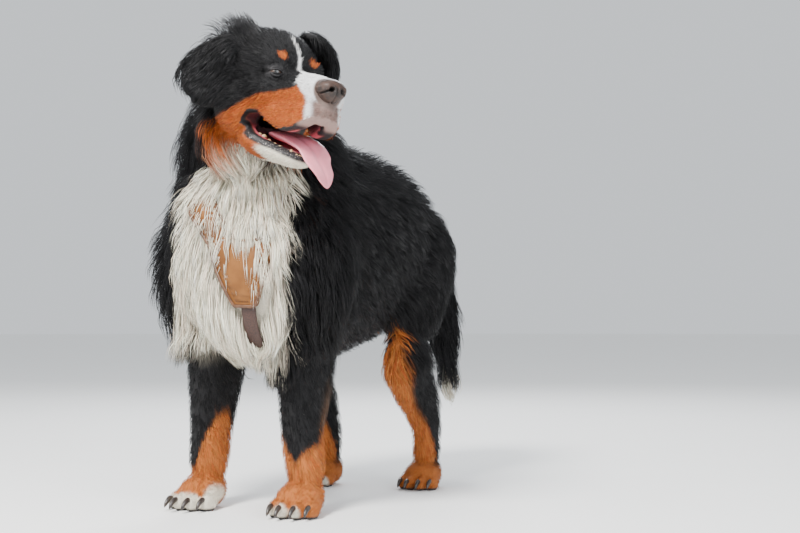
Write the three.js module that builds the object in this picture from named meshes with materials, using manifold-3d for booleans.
// A Bernese mountain dog at life size, standing with its head turned to its left, mouth open and tongue out.
// Millimetres, +Z up. The dog faces -Y and its left is +X. The origin is on the floor, under the middle.
// Every solid runs out to the tips of the coat. The flesh is drawn as rounded limbs along smooth paths,
// joined where it is one piece and parted by thin cuts where a person would name another part.
import * as THREE from "three";
import { mergeVertices } from "three/addons/utils/BufferGeometryUtils.js";
import Module from "manifold-3d";

const wasm = await Module();
wasm.setup();

// Driving dimensions
const GAP = 0.3; // clear width of every cut between two parts
const BACK_TOP = 706; // coat's outline over the withers: 680 mm at the skin
const BODY_HALF_WIDTH = 196; // ribs, out to the tips of the coat
const CHEST_FLOOR = 262; // the coat's underside behind the elbows
const RUMP_BACK = 402; // the rump's hindmost point, in the same measure as the paws' places
const EYE_SPACING = 78; // between the eyes' middles
const EYE_RADIUS = 13;
const STRAP_DEPTH = 16; // how deep the harness lies in the coat
const STRAP_THICKNESS = 5;
const STRAP_WIDTH = 34;

// The head looks to the left, dips a little and leans to its left, in degrees
const HEAD = { x: 140, y: -345, z: 764, yaw: 71, dip: 4, lean: 6 };

// Where each paw stands, with the way its toes point, in degrees to the left
const PAWS = {
  forepaw_left: { x: 112, y: -222, turn: 12, size: 1.05 },
  forepaw_right: { x: -101, y: -237, turn: 4, size: 1.05 },
  hindpaw_left: { x: 112, y: 218, turn: 8, size: 0.95 },
  hindpaw_right: { x: -98, y: 160, turn: -4, size: 0.95 },
};

const point = (x, y, z) => new THREE.Vector3(x, y, z);
const degrees = THREE.MathUtils.degToRad;
const FORWARD = point(0, -1, 0);
const UP = point(0, 0, 1);

// Coat and skin colours
const finish = (color, roughness = 0.8) => new THREE.MeshStandardMaterial({ color, roughness, metalness: 0 });
const BLACK_COAT = finish(0x17161a);
const TAN_COAT = finish(0xb8662c);
const WHITE_COAT = finish(0xe9e0cf);
const NOSE_SKIN = finish(0x5d4640, 0.45);
const TONGUE_SKIN = finish(0xe39aa8, 0.4);
const EYE_GLOSS = finish(0x2a1508, 0.1);
const HORN = finish(0x2b2624, 0.5);
const CAMEL_PADDING = finish(0xa8784a, 0.75);
const BROWN_WEBBING = finish(0x5c3a2a, 0.8);

// A closed geometry as a solid that can be joined and cut
function solid(geometry) {
  const bare = geometry.clone();
  bare.deleteAttribute("normal");
  bare.deleteAttribute("uv");
  const merged = mergeVertices(bare, 1e-4);
  return new wasm.Manifold(
    new wasm.Mesh({
      numProp: 3,
      vertProperties: Float32Array.from(merged.attributes.position.array),
      triVerts: Uint32Array.from(merged.index.array),
    }),
  );
}

const join = (...pieces) => pieces.reduce((all, piece) => all.add(piece));
const cut = (piece, ...tools) => tools.reduce((left, tool) => left.subtract(tool), piece);

// The biggest body of a cut piece, without the chips and slivers that a cut can leave
function mainBody(piece) {
  const bodies = piece.decompose();
  const biggest = bodies.reduce((best, body) => (body.volume() > best.volume() ? body : best));
  return biggest.simplify(GAP / 3);
}

function part(name, piece, material) {
  const { vertProperties, triVerts } = mainBody(piece).getMesh();
  const geometry = new THREE.BufferGeometry();
  geometry.setAttribute("position", new THREE.BufferAttribute(vertProperties, 3));
  geometry.setIndex(new THREE.BufferAttribute(triVerts, 1));
  geometry.computeVertexNormals();
  const mesh = new THREE.Mesh(geometry, material);
  mesh.name = name;
  return mesh;
}

// A limb follows stations of x, y, z, half-width and half-depth. The depth is measured towards `face`.
// Its surface is a sphere's, with the rings laid along the path and both ends rounded off.
function limbGeometry(stations, { face = FORWARD, sides = 20, rings = 12, grow = 0, blunt = 5 } = {}) {
  const path = new THREE.CatmullRomCurve3(stations.map(([x, y, z]) => point(x, y, z)), false, "centripetal");
  const sizes = stations.map((station) => point(station[3] + grow, station[4] + grow, 0));
  const thickness = new THREE.CatmullRomCurve3(sizes, false, "centripetal");
  const geometry = new THREE.SphereGeometry(1, sides, rings);
  const spots = geometry.attributes.position;
  for (let i = 0; i < spots.count; i += 1) {
    const ball = point(spots.getX(i), spots.getY(i), spots.getZ(i));
    const along = THREE.MathUtils.clamp(ball.y, -1, 1);
    const t = (along + 1) / 2;
    const tangent = path.getTangent(t);
    const depthWay = face.clone().addScaledVector(tangent, -face.dot(tangent)).normalize();
    const sideWay = tangent.clone().cross(depthWay);
    const round = Math.sqrt(Math.max(0, 1 - Math.abs(along) ** blunt));
    const ring = Math.hypot(ball.x, ball.z) || 1;
    const size = thickness.getPoint(t);
    const spot = path.getPoint(t).addScaledVector(tangent, grow * along);
    if (round > 1e-3) {
      spot.addScaledVector(sideWay, (ball.x / ring) * round * size.x);
      spot.addScaledVector(depthWay, (ball.z / ring) * round * size.y);
    }
    spots.setXYZ(i, spot.x, spot.y, spot.z);
  }
  return geometry;
}

const limb = (stations, options) => solid(limbGeometry(stations, options));

function ball(centre, radii, { sides = 9, rings = 7, grow = 0 } = {}) {
  const geometry = new THREE.SphereGeometry(1, sides, rings);
  geometry.rotateX(Math.PI / 2);
  geometry.scale(radii[0] + grow, radii[1] + grow, radii[2] + grow);
  geometry.translate(...centre);
  return solid(geometry);
}

// The same piece on both sides, from one made for a side: 1 is left, -1 is right
const onBothSides = (make) => join(make(1), make(-1));

function block(from, to) {
  const geometry = new THREE.BoxGeometry(to[0] - from[0], to[1] - from[1], to[2] - from[2]);
  geometry.translate((from[0] + to[0]) / 2, (from[1] + to[1]) / 2, (from[2] + to[2]) / 2);
  return solid(geometry);
}

// A wide flat sheet through three points
function slab(a, b, c, thickness) {
  const across = b.clone().sub(a).normalize();
  const normal = across.clone().cross(c.clone().sub(a)).normalize();
  const frame = new THREE.Matrix4().makeBasis(across, normal.clone().cross(across), normal);
  const geometry = new THREE.BoxGeometry(2400, 2400, thickness);
  geometry.applyMatrix4(frame.setPosition(a));
  return solid(geometry);
}

// Trunk: deep chest, level back and sloping rump
const SPINE_DROP = 22; // how far the rump lies below the withers
function trunkStations() {
  const station = (x, y, top, bottom, halfWidth) => [x, y, (top + bottom) / 2, halfWidth, (top - bottom) / 2];
  return [
    station(60, -352, 560, 300, 120),
    station(34, -290, 640, CHEST_FLOOR - 8, BODY_HALF_WIDTH - 10),
    station(6, -190, 694, CHEST_FLOOR - 10, BODY_HALF_WIDTH + 2),
    station(0, -50, BACK_TOP, CHEST_FLOOR, BODY_HALF_WIDTH),
    station(-4, 90, BACK_TOP - 4, CHEST_FLOOR + 28, BODY_HALF_WIDTH - 10),
    station(-8, 210, BACK_TOP - SPINE_DROP / 2, CHEST_FLOOR + 62, BODY_HALF_WIDTH - 32),
    station(-12, 310, BACK_TOP - SPINE_DROP, CHEST_FLOOR + 120, BODY_HALF_WIDTH - 66),
    station(-10, RUMP_BACK, BACK_TOP - 62, CHEST_FLOOR + 196, 86),
  ];
}

const trunkBarrel = (grow = 0) => limb(trunkStations(), { face: UP, sides: 16, rings: 10, grow });

// The chest and shoulders, as deep as the harness goes round them
function trunkCore(grow = 0) {
  const breast = ball([52, -306, 420], [136, 74, 142], { sides: 10, rings: 6, grow });
  const shoulders = onBothSides((side) => {
    return ball([side * 120 + 4, -222, 440], [94, 110, 152], { sides: 10, rings: 6, grow });
  });
  return join(trunkBarrel(grow), breast, shoulders);
}

// The ends of the long breast hair hang in a point between the forelegs
function breastFringe(grow = 0) {
  const stations = [
    [48, -296, 380, 118, 70],
    [44, -284, 310, 100, 68],
    [38, -272, 262, 66, 54],
    [34, -262, 222, 30, 34],
  ];
  return limb(stations, { sides: 10, rings: 6, grow });
}

const trunkFlesh = (grow = 0) => join(trunkCore(grow), breastFringe(grow));

// Neck: a thick ruff that climbs from the shoulders to the back of the head
const neckStations = [
  [-6, -60, 545, 160, 130],
  [-10, -140, 600, 188, 148],
  [-4, -205, 668, 178, 138],
  [20, -258, 735, 142, 116],
  [54, -292, 792, 90, 84],
];
const neckGeometry = (grow = 0) => limbGeometry(neckStations, { sides: 16, rings: 8, grow });
const neckFlesh = (grow = 0) => solid(neckGeometry(grow));

// Neck and trunk are one mass of coat, parted along a slanting flat from the withers to the throat
const COLLAR = { withers: [0, -60, 708], throat: [0, -360, 566] };
function aboveCollar(lift = 0) {
  const [, backY, backZ] = COLLAR.withers;
  const [, frontY, frontZ] = COLLAR.throat;
  const geometry = new THREE.BoxGeometry(1200, 1600, 800);
  geometry.translate(0, 0, 400 + lift);
  geometry.rotateX(Math.atan2(backZ - frontZ, backY - frontY));
  geometry.translate(0, backY, backZ);
  return solid(geometry);
}

// Legs, from the body down into the paw
function forelegStations(side, paw) {
  return [
    [side * 102, -190, 440, 56, 76],
    [side * 100, -200, 340, 55, 74],
    [side * 98, paw.y + 22, 240, 46, 62],
    [side * 100, paw.y + 12, 140, 37, 46],
    [paw.x, paw.y + 10, 70, 39, 42],
    [paw.x, paw.y + 6, 26, 36, 36],
  ];
}

function thighStations(side, paw) {
  return [
    [side * 58 - 8, 284, 584, 66, 84],
    [side * 92 - 5, 244, 490, 68, 100],
    [side * 106 - 2, paw.y - 62, 390, 60, 116],
    [paw.x + side * 6, paw.y - 112, 306, 46, 78],
  ];
}

function shankStations(side, paw) {
  return [
    [paw.x + side * 6, paw.y - 112, 330, 42, 76],
    [paw.x + side * 6, paw.y - 72, 240, 41, 70],
    [paw.x + side * 4, paw.y - 20, 172, 35, 54],
    [paw.x + side * 2, paw.y + 2, 120, 31, 40],
    [paw.x, paw.y + 8, 60, 33, 36],
    [paw.x, paw.y + 6, 26, 32, 32],
  ];
}

const tailStations = [
  [-8, 350, 610, 34, 34],
  [-4, 398, 545, 44, 42],
  [8, 432, 450, 50, 46],
  [24, 452, 340, 46, 42],
  [34, 458, 240, 34, 30],
  [40, 456, 176, 12, 12],
];

// A paw stands on its own flat pads, with four knuckled toes
function pawFlesh(grow = 0) {
  const foot = limb(
    [
      [0, 44, 23, 26, 22],
      [0, 20, 31, 38, 34],
      [0, -18, 31, 45, 34],
      [0, -52, 22, 38, 25],
    ],
    { face: UP, sides: 8, rings: 4, grow },
  );
  const toes = TOES.map(({ x, y }) => ball([x, y, 17], [15, 25, 21], { sides: 6, rings: 4, grow }));
  return cut(join(foot, ...toes), block([-200, -200, -200], [200, 200, 0]));
}

const TOES = [
  { x: -34, y: -36 },
  { x: -13, y: -50 },
  { x: 13, y: -50 },
  { x: 34, y: -36 },
];

const CLAW_TIP = 5; // a claw's tip stays this far above the floor
function claw(toe) {
  const stations = [
    [toe.x, toe.y - 16, 21, 5, 6],
    [toe.x, toe.y - 27, 17, 4.2, 5],
    [toe.x, toe.y - 36, CLAW_TIP + 3, 2.2, 2.6],
  ];
  return limb(stations, { face: UP, sides: 4, rings: 3, blunt: 3 });
}

// Head, in its own frame: nose towards -Y, its left +X, origin between the eyes
const skullTurn = new THREE.Euler(degrees(HEAD.dip), degrees(HEAD.lean), degrees(HEAD.yaw), "ZXY");
const headFrame = new THREE.Matrix4().makeRotationFromEuler(skullTurn).setPosition(HEAD.x, HEAD.y, HEAD.z);
const intoHead = headFrame.clone().invert();

// The lips' line from the corner of the mouth forward, as distance ahead of the eyes and height
const MOUTH_CORNER = [16, -74];
const UPPER_LIP = [
  [40, -54],
  [62, -63],
  [90, -80],
  [124, -81],
  [146, -68],
  [230, -60],
];
const LOWER_LIP = [
  [230, -160],
  [112, -131],
  [86, -125],
  [50, -115],
  [24, -98],
];

// The gape, right across the head
function gape() {
  const line = [MOUTH_CORNER, ...UPPER_LIP, ...LOWER_LIP];
  const outline = new THREE.Shape(line.map(([ahead, height]) => new THREE.Vector2(ahead, height)));
  const geometry = new THREE.ExtrudeGeometry(outline, { depth: 300, bevelEnabled: false });
  const across = new THREE.Matrix4().makeBasis(FORWARD, UP, FORWARD.clone().cross(UP));
  geometry.translate(0, 0, -150);
  geometry.applyMatrix4(across);
  return solid(geometry);
}

function jawFlesh(grow = 0) {
  return limb(
    [
      [0, 30, -96, 72, 38],
      [0, -26, -114, 68, 30],
      [0, -56, -126, 52, 22],
      [0, -92, -137, 38, 17],
      [0, -117, -141, 22, 12],
    ],
    { face: UP, sides: 12, rings: 8, grow },
  );
}

function tongueFlesh(grow = 0) {
  return limb(
    [
      [0, 0, -102, 24, 10],
      [0, -50, -105, 27, 8],
      [2, -98, -110, 27, 7],
      [7, -130, -128, 26, 6],
      [16, -142, -152, 24, 6],
      [27, -144, -180, 18, 5],
    ],
    { face: point(0, -0.6, 0.8), sides: 10, rings: 10, grow },
  );
}

function noseLeather(grow = 0) {
  return limb(
    [
      [0, -148, -27, 22, 17],
      [0, -168, -32, 26, 21],
      [0, -183, -36, 21, 17],
    ],
    { face: UP, sides: 12, rings: 5, grow },
  );
}

function skullFlesh(grow = 0) {
  const cranium = ball([0, 26, 14], [90, 100, 82], { sides: 12, rings: 8, grow });
  const brows = onBothSides((side) => ball([side * 33, -38, 18], [35, 32, 27], { sides: 7, rings: 5, grow }));
  const muzzle = limb(
    [
      [0, 10, -30, 66, 52],
      [0, -56, -34, 56, 46],
      [0, -110, -38, 50, 40],
      [0, -146, -41, 46, 36],
      [0, -168, -44, 36, 29],
    ],
    { face: UP, sides: 11, rings: 7, grow },
  );
  const flews = onBothSides((side) =>
    limb(
      [
        [side * 38, -20, -54, 22, 24],
        [side * 34, -80, -60, 20, 26],
        [side * 28, -124, -62, 20, 26],
        [side * 14, -156, -60, 16, 20],
      ],
      { face: UP, sides: 6, rings: 5, grow },
    ),
  );
  const cheeks = onBothSides((side) => ball([side * 50, 18, -52], [45, 60, 58], { rings: 6, grow }));
  const underEyes = onBothSides((side) => ball([side * 40, -34, -34], [38, 56, 34], { rings: 5, grow }));
  const crown = onBothSides((side) => ball([side * 46, 34, 68], [40, 46, 36], { sides: 7, rings: 5, grow }));
  return join(cranium, brows, muzzle, flews, cheeks, underEyes, crown);
}

const eyeCentre = (side) => [(side * EYE_SPACING) / 2, -55, -2];
const eyeRadii = [EYE_RADIUS, EYE_RADIUS, EYE_RADIUS];
const eyeball = (side, grow = 0) => ball(eyeCentre(side), eyeRadii, { sides: 9, rings: 6, grow });

// The left ear is pricked a little: closer to the skull, higher and further forward than the right one
const EARS = {
  left: { side: 1, out: -14, ahead: 26, lift: 44 },
  right: { side: -1, out: 0, ahead: 0, lift: 0 },
};

function earFlap({ side, out, ahead, lift }, grow = 0) {
  return limb(
    [
      [side * (74 + out / 2), 14 - ahead / 2, 38 + lift, 36, 22],
      [side * (104 + out), 28 - ahead, 32 + lift, 48, 18],
      [side * (120 + out), 42 - ahead, 2 + lift, 54, 15],
      [side * (121 + out), 46 - ahead, -28 + lift / 2, 44, 13],
      [side * (115 + out), 44 - ahead, -52, 22, 10],
    ],
    { face: point(side * 0.86, -0.5, 0.1).normalize(), sides: 11, rings: 8, grow },
  );
}

function tooth(x, y, z, height, width) {
  const geometry = new THREE.ConeGeometry(width, height, 7);
  geometry.rotateX(Math.PI / 2);
  geometry.translate(x, y, z + height / 2);
  return solid(geometry);
}

// Lower teeth stand in two rows along the jaw: small molars behind, a tall canine in front
function lowerTeeth() {
  return onBothSides((side) => {
    const molars = [0, 1, 2, 3].map((i) => tooth(side * (33 - i * 2), -18 - i * 17, -116 - i * 4, 13, 7));
    const canine = tooth(side * 20, -101, -134, 24, 6);
    return join(...molars, canine);
  });
}

function headParts() {
  const neck = solid(neckGeometry(GAP).applyMatrix4(intoHead));
  const trough = limb(
    [
      [0, 10, -92, 34, 20],
      [0, -50, -110, 30, 16],
      [0, -104, -122, 20, 12],
    ],
    { face: UP, sides: 8, rings: 5 },
  );
  const palate = limb(
    [
      [0, 8, -74, 34, 20],
      [0, -60, -74, 34, 22],
      [0, -140, -78, 26, 18],
    ],
    { face: UP, sides: 8, rings: 5 },
  );
  const sockets = onBothSides((side) =>
    join(eyeball(side, GAP), ball([side * 42, -68, -2], [15, 16, 9], { sides: 8, rings: 6 })),
  );
  const jaw = join(cut(jawFlesh(), gape(), trough), lowerTeeth());
  const skull = cut(skullFlesh(), gape(), palate, jawFlesh(GAP), noseLeather(GAP), sockets, neck);
  const skullCut = skullFlesh(GAP);
  return [
    part("head", skull, BLACK_COAT),
    part("lower_jaw", cut(jaw, tongueFlesh(GAP), neck), WHITE_COAT),
    part("tongue", tongueFlesh(), TONGUE_SKIN),
    part("nose", nostrils(noseLeather()), NOSE_SKIN),
    part("eye_left", eyeball(1), EYE_GLOSS),
    part("eye_right", eyeball(-1), EYE_GLOSS),
    part("ear_left", cut(earFlap(EARS.left), skullCut, neck), BLACK_COAT),
    part("ear_right", cut(earFlap(EARS.right), skullCut, neck), BLACK_COAT),
  ];
}

const nostrils = (leather) =>
  cut(leather, onBothSides((side) => ball([side * 13, -184, -35], [6, 10, 6], { sides: 8, rings: 5 })));

// Harness: a padded Y over the chest and both shoulders, a back pad, a breast strap and a girth
const PANEL = { x: 84, y: -360, bottom: 372, facing: 12 };

const hullUnderCoat = (depth) => join(trunkCore(-depth), neckFlesh(-depth));

function harnessShell() {
  return hullUnderCoat(STRAP_DEPTH).subtract(hullUnderCoat(STRAP_DEPTH + STRAP_THICKNESS));
}

const BACK_PAD = { halfWidth: 56, front: -62, back: 62 };

function backPad(grow = 0) {
  const { halfWidth, front, back } = BACK_PAD;
  return block([-halfWidth - grow, front - grow, 600], [halfWidth + grow, back + grow, 900]);
}

// Each arm leaves the panel, passes over its shoulder and ends at the back pad
const ARMS = {
  right: { chest: [34, -360, 450], shoulder: [-52, -362, 544], withers: [-60, -70, 700] },
  left: { chest: [128, -360, 446], shoulder: [182, -326, 508], withers: [58, -66, 700] },
};
const ARMS_MEET_BEHIND = 26; // half the clear width between the arms in front of the back pad

function shoulderArm(side, { chest, shoulder, withers }, grow) {
  const sheet = slab(point(...chest), point(...shoulder), point(...withers), STRAP_WIDTH + 2 * grow);
  const [front, back] = [PANEL.x, side * ARMS_MEET_BEHIND];
  const edge = side * 400;
  const strip = (x, from, to) => block([Math.min(x, edge), from, 300], [Math.max(x, edge), to, 900]);
  return sheet.intersect(join(strip(front, -600, -240), strip(back, -241, BACK_PAD.front - GAP + grow)));
}

const shoulderArms = (grow = 0) => join(shoulderArm(1, ARMS.left, grow), shoulderArm(-1, ARMS.right, grow));

function chestPanel(grow = 0) {
  const outline = new THREE.Shape();
  outline.moveTo(-23 - grow, -grow);
  outline.lineTo(23 + grow, -grow);
  outline.lineTo(50 + grow, 66);
  outline.lineTo(64 + grow, 96 + grow);
  outline.quadraticCurveTo(0, 62 + grow, -64 - grow, 96 + grow);
  outline.lineTo(-50 - grow, 66);
  outline.closePath();
  const geometry = new THREE.ExtrudeGeometry(outline, { depth: 240, bevelEnabled: false, curveSegments: 4 });
  geometry.rotateX(Math.PI / 2);
  geometry.translate(0, 120, 0);
  geometry.rotateZ(degrees(PANEL.facing));
  geometry.translate(PANEL.x, PANEL.y, PANEL.bottom);
  return solid(geometry);
}

function breastStrap(grow = 0) {
  const [top, low] = [point(PANEL.x, PANEL.y, 380), point(PANEL.x, PANEL.y, 250)];
  const sheet = slab(top, low, point(0, -20, 250), 28 + 2 * grow);
  return sheet.intersect(block([-200, -600, 100], [300, -21 + grow, PANEL.bottom - GAP + grow]));
}

function girth(grow = 0) {
  const [low, high] = [-26, 22];
  return slab(point(0, low, 300), point(100, low, 300), point(0, high, 700), STRAP_WIDTH + 2 * grow);
}

function harnessParts() {
  const shell = harnessShell();
  const front = join(shoulderArms(), chestPanel());
  const frontCut = join(shoulderArms(GAP), chestPanel(GAP));
  return [
    part("harness_front", shell.intersect(cut(front, backPad(GAP))), CAMEL_PADDING),
    part("harness_back_pad", shell.intersect(backPad()), CAMEL_PADDING),
    part("harness_breast_strap", shell.intersect(cut(breastStrap(), girth(GAP), frontCut)), BROWN_WEBBING),
    part("harness_girth", shell.intersect(cut(girth(), backPad(GAP))), BROWN_WEBBING),
  ];
}

// The coat parts round the harness, from the straps outward
function harnessGroove() {
  const bed = STRAP_DEPTH + STRAP_THICKNESS + GAP;
  const reach = join(shoulderArms(GAP), chestPanel(GAP), breastStrap(GAP), girth(GAP), backPad(GAP));
  return reach.subtract(hullUnderCoat(bed));
}

// A paw's frame: toes towards -Y, origin on the floor, turned and set down where the paw stands
function pawFrame(name) {
  const { x, y, turn, size } = PAWS[name];
  const frame = new THREE.Matrix4().makeRotationZ(degrees(turn)).setPosition(x, y, 0);
  return frame.scale(point(size, size, size));
}

const pawInPlace = (name) => pawFlesh(GAP).transform(pawFrame(name).elements);

function bodyParts() {
  const groove = harnessGroove();
  const torso = join(trunkFlesh(), neckFlesh());
  const trunkCut = trunkFlesh(GAP);
  const parts = [
    part("trunk", cut(torso, aboveCollar(), groove), BLACK_COAT),
    part("neck", cut(torso.intersect(aboveCollar(GAP)), groove), BLACK_COAT),
    part("tail", cut(limb(tailStations, { sides: 10, rings: 10 }), trunkCut), BLACK_COAT),
  ];
  const sides = { left: 1, right: -1 };
  for (const [word, side] of Object.entries(sides)) {
    const forepaw = `forepaw_${word}`;
    const hindpaw = `hindpaw_${word}`;
    const foreleg = limb(forelegStations(side, PAWS[forepaw]), { sides: 12, rings: 9 });
    const thigh = (grow) => limb(thighStations(side, PAWS[hindpaw]), { sides: 12, rings: 8, grow });
    const shank = limb(shankStations(side, PAWS[hindpaw]), { sides: 12, rings: 9 });
    parts.push(
      part(`foreleg_${word}`, cut(foreleg, trunkCut, pawInPlace(forepaw)), TAN_COAT),
      part(`thigh_${word}`, cut(thigh(0), trunkCut), BLACK_COAT),
      part(`shank_${word}`, cut(shank, thigh(GAP), trunkCut, pawInPlace(hindpaw)), TAN_COAT),
    );
  }
  return parts;
}

// The four paws, each with its four claws, in a group of its own
function pawGroup(name) {
  const group = new THREE.Group();
  group.applyMatrix4(pawFrame(name));
  const bed = pawFlesh(GAP);
  group.add(part(name, pawFlesh(), WHITE_COAT));
  TOES.forEach((toe, i) => group.add(part(`claw_${name}_${i + 1}`, cut(claw(toe), bed), HORN)));
  return group;
}

const head = new THREE.Group();
head.applyMatrix4(headFrame);
head.add(...headParts());

const dog = new THREE.Group();
dog.add(...bodyParts(), ...harnessParts(), head, ...Object.keys(PAWS).map(pawGroup));

// Bring the middle of the dog's plan over the origin
dog.updateMatrixWorld(true);
const middle = new THREE.Box3().setFromObject(dog, true).getCenter(point(0, 0, 0));
dog.position.set(-middle.x, -middle.y, 0);

const model = new THREE.Group();
model.add(dog);
export default model;
